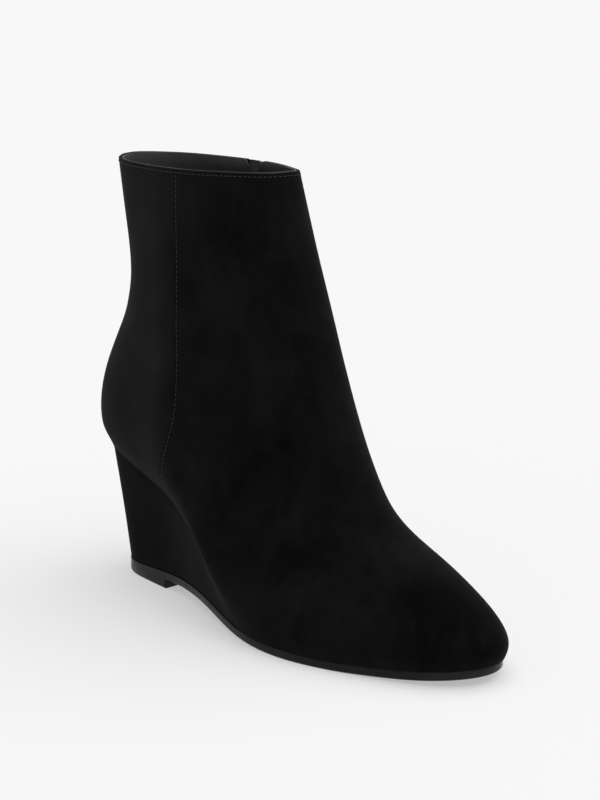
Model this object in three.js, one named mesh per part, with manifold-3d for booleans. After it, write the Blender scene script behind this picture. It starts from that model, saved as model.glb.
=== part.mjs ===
// A wedge ankle boot for the right foot, in millimetres, with +Z up and the toe towards +X.
// A hollow suede upper stands on a suede-covered wedge and a moulded rubber outsole, over a flat insole.
// A coil zip runs down the inner side (+Y) from the collar, and its pull tab hinges on the metal slider.
// The origin is the middle of the heel's tread, on the floor.

import * as THREE from 'three';
import { mergeVertices } from 'three/addons/utils/BufferGeometryUtils.js';
import Module from 'manifold-3d';

const wasm = await Module();
wasm.setup();

// The boot as a whole
const BOOT_LENGTH = 234; // heel back to toe tip at the feather edge, measured flat
const HEEL_HEIGHT = 60.5; // feather edge over the floor at the heel's back
const SHAFT_HEIGHT = 137.5; // collar over the feather edge, at the back
const COLLAR_RISE = 1.5; // how much higher the collar is at the front
const COLLAR_DIP = 1.7; // how much lower the collar is at the middle of the inner side
const BACK_CURVE = 21; // depth of the back seam's curve, from heel bulge to ankle
const SHAFT_FRONT = 114; // collar's front edge, ahead of the heel's back
const HEEL_WIDTH = 55;
const ANKLE_WIDTH = 53;
const BALL_WIDTH = 85;
const TOE_WIDTH = 56;
const TOE_SWING = 5; // how far the toe's tip bends to the inner side
const UPPER_WALL = 2.2; // suede, stiffener and lining together
const MEETING_GAP = 0.3; // between pieces that are cemented or sewn together

// The sole unit
const OUTSOLE_THICKNESS = 4;
const HEEL_TREAD_STEP = 2.4; // extra thickness of the heel's tread
const HEEL_TREAD_LENGTH = 40;
const TREAD_STEP_SLOPE = 0.8;
const ARCH_RISE = 2.7; // outsole's underside over its place at the heel and the ball, at the waist
const TOE_SPRING = 4;
const SOLE_BACK = 10.5; // outsole's back end, ahead of the heel's back
const SOLE_HEEL_WIDTH = 41;
const SOLE_WAIST_WIDTH = 46;
const SOLE_EDGE_INSET = 0.7; // how far the outsole's lower edge draws in
const SOLE_FOREFOOT_INSET = 1; // how far the outsole stays inside the feather edge
const WEDGE_HOLLOW = 0.3; // how deep the wedge's side curves in
const WEDGE_INSET = 0.3; // how far the wedge stays inside the feather edge
const WEDGE_TOP_GAP = 0.5; // between the wedge and the upper's lower rim
const WEDGE_TIP_THICKNESS = 0.4;
const INSOLE_THICKNESS = 2;
const INSOLE_CLEARANCE = 0.4;

// The zip and the tab at the back
const ZIP_COLLAR_PLACE = 63; // zip's centre line ahead of the heel's back, at the collar
const ZIP_FOOT_PLACE = 68; // and at its lower end
const ZIP_LENGTH = 108;
const ZIP_SLOT_WIDTH = 6.4;
const TEETH_WIDTH = 4.4;
const TEETH_THICKNESS = 1.1;
const TEETH_DEPTH = 0.1; // teeth's outside below the suede's
const TAPE_THICKNESS = 0.6;
const SLIDER_LENGTH = 9;
const SLIDER_WIDTH = 7.6;
const SLIDER_TAPER = 1.5; // how much narrower each side of the slider is at its lower end
const SLIDER_PLATE = 1.2;
const SLIDER_DROP = 0.6; // slider's top below the collar
const CROWN_WIDTH = 1.6;
const CROWN_THICKNESS = 0.8;
const PULL_LENGTH = 13;
const PULL_WIDTH = 6.2;
const PULL_TIP_WIDTH = 3.4;
const PULL_THICKNESS = 1.2;
const PULL_CLEARANCE = 0.5; // around the pull's bar, under the slider's crown
const BACK_TAB_HEIGHT = 29;
const BACK_TAB_WIDTH = 20;
const BACK_TAB_THICKNESS = 0.9;

// How finely the curved pieces are faceted
const SIDE_COLUMNS = 32;
const ZIP_COLUMN = 14; // the column that is the zip's slot, counted from the back seam
const BAND_ROWS = 26;
const ROW_CROWDING = 1.3; // over 1, rows are closer together at the feather edge
const SOLE_STATIONS = 60;
const TAB_COLUMNS = 4;
const CORNER_SEGMENTS = 4;

const SUEDE = { color: 0x0b0b0d, roughness: 0.95, metalness: 0 };
const RUBBER = { color: 0x141417, roughness: 0.45, metalness: 0 };
const LINING = { color: 0x1b1b1e, roughness: 0.6, metalness: 0 };
const TAPE = { color: 0x0c0c0e, roughness: 0.9, metalness: 0 };
const COIL = { color: 0x121215, roughness: 0.5, metalness: 0 };
const GOLD = { color: 0xd9b36a, roughness: 0.25, metalness: 1 };

const OUTER = -1; // the side away from the other foot
const INNER = 1;

const mix = (from, to, share) => from + (to - from) * share;

function smoothStep(from, to, at) {
  const t = Math.min(Math.max((at - from) / (to - from), 0), 1);
  return t * t * (3 - 2 * t);
}

// A table is a row of column names over rows of numbers.
function table(names, rows) {
  const columns = {};
  names.trim().split(/\s+/).forEach((name, i) => {
    columns[name] = rows.map((row) => row[i]);
  });
  return columns;
}

// Value at a place along a table: a smooth curve through the rows.
function along(places, values, at) {
  const last = places.length - 1;
  const slope = (i) => {
    const low = Math.max(i - 1, 0);
    const high = Math.min(i + 1, last);
    return (values[high] - values[low]) / (places[high] - places[low]);
  };
  let i = 0;
  while (i < last - 1 && at > places[i + 1]) i += 1;
  const span = places[i + 1] - places[i];
  const t = Math.min(Math.max((at - places[i]) / span, 0), 1);
  const t2 = t * t;
  const t3 = t2 * t;
  return (2 * t3 - 3 * t2 + 1) * values[i] + (t3 - 2 * t2 + t) * span * slope(i)
    + (3 * t2 - 2 * t3) * values[i + 1] + (t3 - t2) * span * slope(i + 1);
}

// Side profile of the sole, by shares of the boot's length. arch and spring are the underside's height
// in shares of the arch's rise and of the toe's spring. seat is the wedge's height in shares of its
// height at the back.
const SOLE_PROFILE = table('place arch spring seat', [
  [0.00, 0.00, 0.00, 1.000],
  [0.07, 0.00, 0.00, 0.985],
  [0.13, 0.15, 0.00, 0.935],
  [0.20, 0.60, 0.00, 0.840],
  [0.27, 0.93, 0.00, 0.755],
  [0.34, 1.00, 0.00, 0.645],
  [0.40, 0.75, 0.00, 0.480],
  [0.46, 0.33, 0.00, 0.265],
  [0.51, 0.07, 0.00, 0.100],
  [0.56, 0.00, 0.00, 0.010],
  [0.60, 0.00, 0.00, 0.000],
  [0.75, 0.00, 0.00, 0.000],
  [0.80, 0.00, 0.08, 0.000],
  [0.90, 0.00, 0.42, 0.000],
  [1.00, 0.00, 1.00, 0.000],
]);
const TREAD_LIFT_ENDS = { from: 0.38, to: 0.60 }; // where the heel tread's extra height runs out

const profileAt = (name, x) => Math.max(along(SOLE_PROFILE.place, SOLE_PROFILE[name], x / BOOT_LENGTH), 0);

// Height of the outsole's top over the floor.
function soleTop(x) {
  const lift = 1 - smoothStep(TREAD_LIFT_ENDS.from, TREAD_LIFT_ENDS.to, x / BOOT_LENGTH);
  return OUTSOLE_THICKNESS + lift * HEEL_TREAD_STEP
    + profileAt('arch', x) * ARCH_RISE + profileAt('spring', x) * TOE_SPRING;
}

// Height of the outsole's underside. The heel's tread is flat on the floor and ends in a step.
const HEEL_TREAD_FRONT = SOLE_BACK + HEEL_TREAD_LENGTH;
const soleBottom = (x) => (x <= HEEL_TREAD_FRONT ? 0 : soleTop(x) - OUTSOLE_THICKNESS);

// Height of the feather edge, where the upper meets the wedge or the outsole.
const WEDGE_HEIGHT = HEEL_HEIGHT - OUTSOLE_THICKNESS - HEEL_TREAD_STEP - MEETING_GAP;
const seatHeight = (x) => soleTop(x) + profileAt('seat', x) * WEDGE_HEIGHT + MEETING_GAP;

// A closed outline's half width at an angle from its back end (0) to its front end (PI): round ends of
// the given radii, and the given half widths at the stations, in shares of its length.
const STATIONS = { heel: 0.13, waist: 0.30, ball: 0.66, toe: 0.88 };
const placeOf = (angle) => (1 - Math.cos(angle)) / 2;
const angleOf = (place) => Math.acos(1 - 2 * Math.min(Math.max(place, 0), 1));
function fullness(shape, length, place) {
  const places = [0, ...Object.values(STATIONS), 1];
  const values = Object.entries(STATIONS).map(([name, at]) => shape[name] / Math.sin(angleOf(at)));
  values.unshift(Math.sqrt(shape.backRound * length / 2));
  values.push(Math.sqrt(shape.frontRound * length / 2));
  return along(places, values, place);
}

// The centre line bends outwards at the waist and inwards at the toe. The outer side is widest further
// back than the inner side, by a share of the length.
const SWING = table('place bend', [
  [0.00, 0.00],
  [0.13, 0.00],
  [0.32, -0.42],
  [0.46, -0.42],
  [0.60, -0.20],
  [0.72, 0.10],
  [0.84, 0.48],
  [1.00, 1.00],
]);
const BALL_SKEW = 0.045;
const swingAt = (place) => along(SWING.place, SWING.bend, place) * TOE_SWING;
const skewed = (side, angle, amount) => placeOf(angle) - side * BALL_SKEW * amount * Math.sin(angle) ** 2;

// The upper's bands, from the feather edge (rise 0) to the collar (rise 1). back is the back seam's
// place in shares of its curve's depth, and backUp its height in shares of the shaft; front and frontUp
// are the same for the ridge, between the collar's front and the toe's tip. sag is how much of the
// feather edge's dip is left, and foot how much of the foot's left and right bend.
const BAND_LINES = table('rise back backUp front frontUp sag foot', [
  [0.00, 0.00, 0.000, 1.000, 0.000, 1.00, 1.00],
  [0.03, -0.10, 0.028, 1.016, 0.025, 0.98, 1.00],
  [0.07, -0.28, 0.067, 0.998, 0.058, 0.90, 1.00],
  [0.13, -0.33, 0.123, 0.918, 0.104, 0.76, 0.95],
  [0.20, -0.30, 0.179, 0.776, 0.156, 0.58, 0.85],
  [0.28, -0.20, 0.242, 0.610, 0.200, 0.42, 0.70],
  [0.37, -0.02, 0.319, 0.486, 0.251, 0.28, 0.52],
  [0.47, 0.24, 0.404, 0.390, 0.337, 0.16, 0.34],
  [0.58, 0.54, 0.502, 0.314, 0.438, 0.06, 0.18],
  [0.70, 0.73, 0.614, 0.238, 0.565, 0.00, 0.06],
  [0.80, 0.71, 0.719, 0.172, 0.686, 0.00, 0.00],
  [0.90, 0.55, 0.853, 0.092, 0.823, 0.00, 0.00],
  [1.00, 0.40, 1.000, 0.000, 1.000, 0.00, 0.00],
]);

// Half widths at the stations and both end radii, in shares of half the width that each follows.
const BAND_SIZES = {
  backRound: HEEL_WIDTH / 2,
  heel: HEEL_WIDTH / 2,
  waist: ANKLE_WIDTH / 2,
  ball: BALL_WIDTH / 2,
  toe: TOE_WIDTH / 2,
  frontRound: TOE_WIDTH / 2,
};
const BAND_WIDTHS = table('rise backRound heel waist ball toe frontRound', [
  [0.00, 0.74, 0.87, 1.03, 0.95, 0.97, 0.62],
  [0.03, 0.79, 0.93, 1.10, 0.99, 1.01, 0.66],
  [0.07, 0.84, 0.98, 1.15, 1.00, 1.00, 0.62],
  [0.13, 0.87, 1.00, 1.18, 0.95, 0.91, 0.54],
  [0.20, 0.86, 1.00, 1.18, 0.86, 0.81, 0.45],
  [0.28, 0.86, 0.98, 1.16, 0.785, 0.73, 0.40],
  [0.37, 0.81, 0.93, 1.13, 0.735, 0.71, 0.40],
  [0.47, 0.70, 0.87, 1.09, 0.700, 0.70, 0.45],
  [0.58, 0.58, 0.81, 1.05, 0.670, 0.67, 0.49],
  [0.70, 0.54, 0.78, 1.02, 0.645, 0.63, 0.52],
  [0.80, 0.54, 0.76, 1.00, 0.625, 0.61, 0.54],
  [0.90, 0.55, 0.74, 0.98, 0.62, 0.60, 0.54],
  [1.00, 0.60, 0.73, 0.98, 0.61, 0.58, 0.55],
]);
const FEATHER_BACK_HEIGHT = seatHeight(0);
const FEATHER_FRONT_HEIGHT = seatHeight(BOOT_LENGTH);
const COLLAR_BACK_HEIGHT = FEATHER_BACK_HEIGHT + SHAFT_HEIGHT;
const COLLAR_FRONT_HEIGHT = COLLAR_BACK_HEIGHT + COLLAR_RISE;

// One band's ends, dip and widths.
function bandAt(rise) {
  const line = (name) => along(BAND_LINES.rise, BAND_LINES[name], rise);
  const band = {
    backX: line('back') * BACK_CURVE,
    backZ: mix(FEATHER_BACK_HEIGHT, COLLAR_BACK_HEIGHT, line('backUp')),
    frontX: mix(SHAFT_FRONT, BOOT_LENGTH, line('front')),
    frontZ: mix(FEATHER_FRONT_HEIGHT, COLLAR_FRONT_HEIGHT, line('frontUp')),
    sag: line('sag'),
    foot: line('foot'),
  };
  for (const [name, size] of Object.entries(BAND_SIZES)) {
    band[name] = along(BAND_WIDTHS.rise, BAND_WIDTHS[name], rise) * size;
  }
  return band;
}

const COLLAR_DIP_FROM = 0.5; // the rise from which the inner side's collar dips

// A point on the upper's outside.
function upperPoint(side, angle, rise) {
  const band = bandAt(rise);
  const place = placeOf(angle);
  const half = fullness(band, band.frontX - band.backX, skewed(side, angle, band.foot));
  const dip = seatHeight(place * BOOT_LENGTH) - mix(FEATHER_BACK_HEIGHT, FEATHER_FRONT_HEIGHT, place);
  const collarDip = side === INNER ? COLLAR_DIP * Math.sin(angle) * smoothStep(COLLAR_DIP_FROM, 1, rise) : 0;
  return new THREE.Vector3(
    mix(band.backX, band.frontX, place),
    swingAt(place) * band.foot + side * half * Math.sin(angle),
    mix(band.backZ, band.frontZ, place) + band.sag * dip - collarDip,
  );
}

// The outward direction of the upper's surface.
const SMALL_STEP = 1e-3;
function upperNormal(side, angle, rise) {
  const low = Math.max(rise - SMALL_STEP, 0);
  const high = Math.min(rise + SMALL_STEP, 1);
  const round = upperPoint(side, angle + SMALL_STEP, rise).sub(upperPoint(side, angle - SMALL_STEP, rise));
  const up = upperPoint(side, angle, high).sub(upperPoint(side, angle, low));
  return round.cross(up).multiplyScalar(-side).normalize();
}

// A point at a depth under the upper's outside. At the feather edge and the collar it stays level, so
// that the wall's two rims are flat.
function wallPoint(side, angle, rise, depth) {
  const normal = upperNormal(side, angle, rise);
  if (rise === 0 || rise === 1) normal.setZ(0).normalize();
  return upperPoint(side, angle, rise).addScaledVector(normal, -depth);
}

// Rise at which a line up the upper has a height over its upper end.
function riseBelowCollar(side, angleAt, drop) {
  const top = upperPoint(side, angleAt(1), 1).z;
  let low = 0;
  let high = 1;
  while (high - low > SMALL_STEP / 10) {
    const middle = (low + high) / 2;
    if (top - upperPoint(side, angleAt(middle), middle).z > drop) low = middle;
    else high = middle;
  }
  return high;
}

// The zip's centre line runs down the inner side.
function zipAngle(rise) {
  const band = bandAt(rise);
  const x = mix(ZIP_FOOT_PLACE, ZIP_COLLAR_PLACE, rise);
  return angleOf((x - band.backX) / (band.frontX - band.backX));
}
const ZIP_BOTTOM_RISE = riseBelowCollar(INNER, zipAngle, ZIP_LENGTH);

// The angle that spans a width of the surface.
function angleAcross(width, side, angle, rise) {
  const step = upperPoint(side, angle + SMALL_STEP, rise).distanceTo(upperPoint(side, angle, rise));
  return width * SMALL_STEP / step;
}

// Angles of the columns from the back seam to the ridge. Two of them are the edges of the zip's slot.
function columnAngles(rise) {
  const centre = zipAngle(rise);
  const half = angleAcross(ZIP_SLOT_WIDTH / 2, INNER, centre, rise);
  const angles = [];
  const columnsAhead = SIDE_COLUMNS - ZIP_COLUMN - 1;
  for (let i = 0; i <= ZIP_COLUMN; i += 1) angles.push((centre - half) * i / ZIP_COLUMN);
  for (let i = 0; i <= columnsAhead; i += 1) angles.push(mix(centre + half, Math.PI, i / columnsAhead));
  return angles;
}

// Rises of the upper's rows. One row is the slot's lower end.
function upperRises() {
  const rowsBelow = Math.round(BAND_ROWS / 2);
  const rowsAbove = BAND_ROWS - rowsBelow;
  const rises = [];
  for (let i = 0; i < rowsBelow; i += 1) rises.push(ZIP_BOTTOM_RISE * (i / rowsBelow) ** ROW_CROWDING);
  for (let i = 0; i <= rowsAbove; i += 1) rises.push(mix(ZIP_BOTTOM_RISE, 1, i / rowsAbove));
  return rises;
}

// Collects triangles over shared points into one closed geometry. A triangle with two corners in one
// place, at the end of an outline, is left out.
class Skin {
  constructor() {
    this.positions = [];
    this.corners = [];
    this.known = new Map();
  }

  vertex(point) {
    const key = point.toArray().map((value) => value.toFixed(4)).join(' ');
    if (!this.known.has(key)) {
      this.known.set(key, this.positions.length / 3);
      this.positions.push(point.x, point.y, point.z);
    }
    return this.known.get(key);
  }

  triangle(...points) {
    const corners = points.map((point) => this.vertex(point));
    if (new Set(corners).size === 3) this.corners.push(...corners);
  }

  quad(a, b, c, d) {
    this.triangle(a, b, c);
    this.triangle(a, c, d);
  }

  geometry() {
    const geometry = new THREE.BufferGeometry();
    geometry.setAttribute('position', new THREE.Float32BufferAttribute(this.positions, 3));
    geometry.setIndex(this.corners);
    geometry.computeVertexNormals();
    return geometry;
  }
}

// A wall between two grids of points, whose rows run upwards and whose columns run clockwise seen from
// above. Cells where isOpen is true are left out, and what is left gets a rim along every free edge.
function wall(outside, inside, closed, isOpen = () => false) {
  const skin = new Skin();
  const rows = outside.length - 1;
  const columns = outside[0].length;
  const cells = closed ? columns : columns - 1;
  const missing = (r, c) => {
    if (r < 0 || r >= rows) return true;
    if (!closed && (c < 0 || c >= cells)) return true;
    return isOpen(r, (c + cells) % cells);
  };
  for (let r = 0; r < rows; r += 1) {
    for (let c = 0; c < cells; c += 1) {
      if (missing(r, c)) continue;
      const d = (c + 1) % columns;
      const [low, high] = [outside[r], outside[r + 1]];
      const [lowIn, highIn] = [inside[r], inside[r + 1]];
      skin.quad(low[c], high[c], high[d], low[d]);
      skin.quad(lowIn[c], lowIn[d], highIn[d], highIn[c]);
      if (missing(r - 1, c)) skin.quad(low[c], low[d], lowIn[d], lowIn[c]);
      if (missing(r + 1, c)) skin.quad(high[d], high[c], highIn[c], highIn[d]);
      if (missing(r, c - 1)) skin.quad(high[c], low[c], lowIn[c], highIn[c]);
      if (missing(r, c + 1)) skin.quad(low[d], high[d], highIn[d], lowIn[d]);
    }
  }
  return skin.geometry();
}

// A closed body from outlines stacked upwards. An outline holds its outer and its inner side's points,
// each from back to front, and strips across close the lowest and the highest.
function stack(outlines) {
  const skin = new Skin();
  const loops = outlines.map(({ outer, inner }) => [...outer, ...[...inner].reverse()]);
  for (let k = 1; k < loops.length; k += 1) {
    const [low, high] = [loops[k - 1], loops[k]];
    low.forEach((point, i) => {
      const j = (i + 1) % low.length;
      skin.quad(point, low[j], high[j], high[i]);
    });
  }
  const close = ({ outer, inner }, facesUp) => {
    for (let i = 1; i < outer.length; i += 1) {
      const corners = [outer[i - 1], outer[i], inner[i], inner[i - 1]];
      skin.quad(...(facesUp ? corners : corners.reverse()));
    }
  };
  close(outlines[0], false);
  close(outlines[outlines.length - 1], true);
  return skin.geometry();
}

const evenAngles = (last, count) => Array.from({ length: count + 1 }, (_, i) => last * i / count);

// Both sides of an outline at the given angles. They share one point at each round end.
function outline(angles, pointAt) {
  const sideAt = (side, angle) => (Math.sin(angle) < SMALL_STEP ? OUTER : side);
  const points = (side) => angles.map((angle, i) => pointAt(sideAt(side, angle), angle, i));
  return { outer: points(OUTER), inner: points(INNER) };
}

// The upper: one hollow wall, open at the feather edge, at the collar and along the zip's slot.
function makeUpper() {
  const rises = upperRises();
  const grid = (depth) => rises.map((rise) => {
    const { outer, inner } = outline(columnAngles(rise), (side, angle) => wallPoint(side, angle, rise, depth));
    return [...inner.slice(0, -1), ...outer.slice(1).reverse()];
  });
  const isOpen = (row, c) => c === ZIP_COLUMN && rises[row] > ZIP_BOTTOM_RISE - SMALL_STEP;
  return wall(grid(0), grid(UPPER_WALL), true, isOpen);
}

// The insole lies inside the upper's wall, on the wedge and the outsole.
function makeInsole() {
  const layer = (lift) => outline(evenAngles(Math.PI, SOLE_STATIONS), (side, angle) => {
    const point = wallPoint(side, angle, 0, UPPER_WALL + INSOLE_CLEARANCE);
    return point.setZ(seatHeight(point.x) + lift);
  });
  return stack([layer(0), layer(INSOLE_THICKNESS)]);
}

// The outsole's outline keeps inside the feather edge at the forefoot and narrows at the wedge. On the
// inner side it runs just inside the feather edge from where the wedge runs out.
const SOLE_FRONT = BOOT_LENGTH - SOLE_FOREFOOT_INSET;
const FEATHER_SHAPE = bandAt(0);
const HEEL_ROUNDNESS = 0.93;
const SOLE_WIDENS = { from: 0.36, to: 0.54 }; // the inner side, by shares of the boot's length
const SOLE_OWN_FRONT = { from: 0.64, to: 0.78 }; // from here on its own stations hold again
const SOLE_SHAPE = {
  backRound: SOLE_HEEL_WIDTH / 2 * HEEL_ROUNDNESS,
  heel: SOLE_HEEL_WIDTH / 2,
  waist: SOLE_WAIST_WIDTH / 2,
  ball: FEATHER_SHAPE.ball - SOLE_FOREFOOT_INSET,
  toe: FEATHER_SHAPE.toe - SOLE_FOREFOOT_INSET,
  frontRound: FEATHER_SHAPE.frontRound - SOLE_FOREFOOT_INSET,
};
function solePoint(side, angle, inset) {
  const place = placeOf(angle);
  const half = fullness(SOLE_SHAPE, SOLE_FRONT - SOLE_BACK, skewed(side, angle, 1)) - inset;
  const x = mix(SOLE_BACK + inset, SOLE_FRONT - inset, place);
  const own = swingAt(place) + side * half * Math.sin(angle);
  if (side === OUTER) return new THREE.Vector3(x, own, 0);
  const feather = upperPoint(side, angleOf(x / BOOT_LENGTH), 0).y - SOLE_FOREFOOT_INSET - inset;
  const widened = smoothStep(SOLE_WIDENS.from, SOLE_WIDENS.to, x / BOOT_LENGTH)
    * (1 - smoothStep(SOLE_OWN_FRONT.from, SOLE_OWN_FRONT.to, x / BOOT_LENGTH));
  return new THREE.Vector3(x, mix(own, feather, widened), 0);
}

function makeOutsole() {
  const angleAtX = (x) => angleOf((x - SOLE_BACK) / (SOLE_FRONT - SOLE_BACK));
  const stepAngles = [angleAtX(HEEL_TREAD_FRONT), angleAtX(HEEL_TREAD_FRONT + TREAD_STEP_SLOPE)];
  const angles = [...stepAngles, ...evenAngles(Math.PI, SOLE_STATIONS)].sort((a, b) => a - b);
  const layer = (inset, heightAt) => outline(angles, (side, angle) => {
    const x = mix(SOLE_BACK, SOLE_FRONT, placeOf(angle));
    return solePoint(side, angle, inset).setZ(heightAt(x));
  });
  const edgeTop = (x) => soleBottom(x) + SOLE_EDGE_INSET;
  return stack([layer(SOLE_EDGE_INSET, soleBottom), layer(0, edgeTop), layer(0, soleTop)]);
}

// The wedge runs from the outsole's outline up to the feather edge, with its sides curved in, and ends
// where it is too thin to be a piece of its own.
const WEDGE_LEVELS = [0, 0.14, 0.32, 0.52, 0.72, 0.88, 1];
function wedgeFront() {
  let low = 0;
  let high = BOOT_LENGTH;
  while (high - low > SMALL_STEP) {
    const x = (low + high) / 2;
    if (seatHeight(x) - soleTop(x) - WEDGE_TOP_GAP - MEETING_GAP > WEDGE_TIP_THICKNESS) low = x;
    else high = x;
  }
  return low;
}

function makeWedge() {
  const front = wedgeFront();
  const layer = (level) => outline(evenAngles(Math.PI / 2, SOLE_STATIONS), (side, turn) => {
    const share = 1 - Math.cos(turn);
    const seatAngle = angleOf(share * front / BOOT_LENGTH);
    const soleAngle = angleOf(share * (front - SOLE_BACK) / (SOLE_FRONT - SOLE_BACK));
    const top = wallPoint(side, seatAngle, 0, WEDGE_INSET);
    const inwards = wallPoint(side, seatAngle, 0, WEDGE_INSET + 1).sub(top);
    top.z = seatHeight(top.x) - WEDGE_TOP_GAP;
    const foot = solePoint(side, soleAngle, MEETING_GAP);
    foot.z = soleTop(foot.x) + MEETING_GAP;
    const hollow = WEDGE_HOLLOW * Math.sin(Math.PI * level) * (top.z - foot.z) / WEDGE_HEIGHT;
    return foot.lerp(top, level).addScaledVector(inwards, hollow);
  });
  return stack(WEDGE_LEVELS.map(layer));
}

// A strip of even thickness that follows the upper, at the given rises and angles across.
function makeStrip(rises, anglesAt, depth, thickness) {
  const grid = (at) => rises.map((rise) => anglesAt(rise).map((angle) => {
    const side = angle < 0 ? OUTER : INNER;
    const point = upperPoint(side, Math.abs(angle), rise);
    return point.addScaledVector(upperNormal(side, Math.abs(angle), rise), -at);
  }));
  return wall(grid(depth), grid(depth + thickness), false);
}

// The zip's tape and its closed coil of teeth fill the slot from its lower end to the collar.
function zipStrip(width, depth, thickness) {
  const rises = upperRises().filter((rise) => rise > ZIP_BOTTOM_RISE + SMALL_STEP);
  const gap = (rises[0] - ZIP_BOTTOM_RISE) * MEETING_GAP * rises.length / ZIP_LENGTH;
  const anglesAt = (rise) => {
    const centre = zipAngle(rise);
    const half = angleAcross(width / 2, INNER, centre, rise);
    return [centre - half, centre, centre + half];
  };
  return makeStrip([ZIP_BOTTOM_RISE + gap, ...rises], anglesAt, depth, thickness);
}
const makeTeeth = () => zipStrip(TEETH_WIDTH, TEETH_DEPTH, TEETH_THICKNESS);
const makeTape = () => zipStrip(
  ZIP_SLOT_WIDTH - 2 * MEETING_GAP,
  TEETH_DEPTH + TEETH_THICKNESS + MEETING_GAP,
  TAPE_THICKNESS,
);

// The tab sewn over the back seam, down from the collar.
function makeBackTab() {
  const foot = riseBelowCollar(OUTER, () => 0, BACK_TAB_HEIGHT);
  const rises = [foot, ...upperRises().filter((rise) => rise > foot + SMALL_STEP)];
  const anglesAt = (rise) => {
    const half = angleAcross(BACK_TAB_WIDTH / 2, INNER, 0, rise);
    return evenAngles(2 * half, 2 * TAB_COLUMNS).map((angle) => angle - half);
  };
  return makeStrip(rises, anglesAt, -MEETING_GAP - BACK_TAB_THICKNESS, BACK_TAB_THICKNESS);
}

// Joins closed geometries with manifold-3d.
function solidOf(geometry) {
  const bare = geometry.index ? geometry.toNonIndexed() : geometry.clone();
  bare.deleteAttribute('normal');
  bare.deleteAttribute('uv');
  const merged = mergeVertices(bare, SMALL_STEP / 10);
  return new wasm.Manifold(new wasm.Mesh({
    numProp: 3,
    vertProperties: new Float32Array(merged.attributes.position.array),
    triVerts: new Uint32Array(merged.index.array),
  }));
}

function geometryOf(solid) {
  const { vertProperties, triVerts } = solid.getMesh();
  const geometry = new THREE.BufferGeometry();
  geometry.setAttribute('position', new THREE.BufferAttribute(vertProperties, 3));
  geometry.setIndex(new THREE.BufferAttribute(triVerts, 1));
  geometry.computeVertexNormals();
  return geometry;
}

// The slider and its pull are modelled flat: X across the zip, Y up along it and Z out of the boot,
// with the pull's hinge along X through the origin.
const BAR_RADIUS = PULL_THICKNESS / 2;
const CROWN_OPENING = BAR_RADIUS + PULL_CLEARANCE;
const CROWN_REACH = CROWN_OPENING + CROWN_THICKNESS;
const HINGE_OVER_PLATE = CROWN_OPENING;
const HINGE_OVER_SUEDE = MEETING_GAP + SLIDER_PLATE + HINGE_OVER_PLATE;

function plate(shape, thickness, middle) {
  const geometry = new THREE.ExtrudeGeometry(shape, {
    depth: thickness,
    bevelEnabled: false,
    curveSegments: CORNER_SEGMENTS,
  });
  return geometry.translate(0, 0, middle - thickness / 2);
}

function makeSlider() {
  const half = SLIDER_WIDTH / 2;
  const end = SLIDER_LENGTH / 2;
  const shape = new THREE.Shape();
  shape.moveTo(half - SLIDER_TAPER, -end);
  shape.lineTo(half, 0);
  shape.quadraticCurveTo(half, end, 0, end);
  shape.quadraticCurveTo(-half, end, -half, 0);
  shape.lineTo(SLIDER_TAPER - half, -end);
  const root = -HINGE_OVER_PLATE - SLIDER_PLATE / 2;
  const base = plate(shape, SLIDER_PLATE, root);
  const arch = new THREE.Shape();
  arch.moveTo(root, -CROWN_REACH);
  arch.lineTo(CROWN_OPENING, -CROWN_REACH);
  arch.quadraticCurveTo(CROWN_REACH, -CROWN_REACH, CROWN_REACH, -CROWN_OPENING);
  arch.lineTo(CROWN_REACH, CROWN_OPENING);
  arch.quadraticCurveTo(CROWN_REACH, CROWN_REACH, CROWN_OPENING, CROWN_REACH);
  arch.lineTo(root, CROWN_REACH);
  arch.lineTo(root, CROWN_OPENING);
  arch.lineTo(CROWN_OPENING, CROWN_OPENING);
  arch.lineTo(CROWN_OPENING, -CROWN_OPENING);
  arch.lineTo(root, -CROWN_OPENING);
  const crown = plate(arch, CROWN_WIDTH, 0).rotateY(-Math.PI / 2);
  return geometryOf(solidOf(base).add(solidOf(crown)));
}

function makePull() {
  const half = PULL_WIDTH / 2;
  const tipHalf = PULL_TIP_WIDTH / 2;
  const holeHalf = CROWN_WIDTH / 2 + PULL_CLEARANCE;
  const holeEnd = CROWN_REACH * Math.SQRT2 + PULL_CLEARANCE;
  const tip = PULL_LENGTH - tipHalf;
  const shape = new THREE.Shape();
  shape.moveTo(-half, BAR_RADIUS);
  shape.lineTo(-tipHalf, -tip);
  shape.absarc(0, -tip, tipHalf, Math.PI, 2 * Math.PI, false);
  shape.lineTo(half, BAR_RADIUS);
  const hole = new THREE.Path();
  hole.moveTo(-holeHalf, -BAR_RADIUS);
  hole.lineTo(-holeHalf, -holeEnd);
  hole.lineTo(holeHalf, -holeEnd);
  hole.lineTo(holeHalf, -BAR_RADIUS);
  shape.holes.push(hole);
  return geometryOf(solidOf(plate(shape, PULL_THICKNESS, 0)));
}

// Where the slider sits: just under the collar on the zip's centre line.
function sliderPlace() {
  const rise = riseBelowCollar(INNER, zipAngle, SLIDER_DROP + SLIDER_LENGTH / 2);
  const foot = upperPoint(INNER, zipAngle(rise), rise);
  const out = upperNormal(INNER, zipAngle(rise), rise);
  const above = rise + SMALL_STEP;
  const up = upperPoint(INNER, zipAngle(above), above).sub(foot).normalize();
  const across = up.clone().cross(out).normalize();
  const turn = new THREE.Matrix4().makeBasis(across, up, out);
  return { position: foot.addScaledVector(out, HINGE_OVER_SUEDE), turn };
}

function named(name, geometry, finish) {
  const mesh = new THREE.Mesh(geometry, new THREE.MeshStandardMaterial(finish));
  mesh.name = name;
  return mesh;
}

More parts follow.
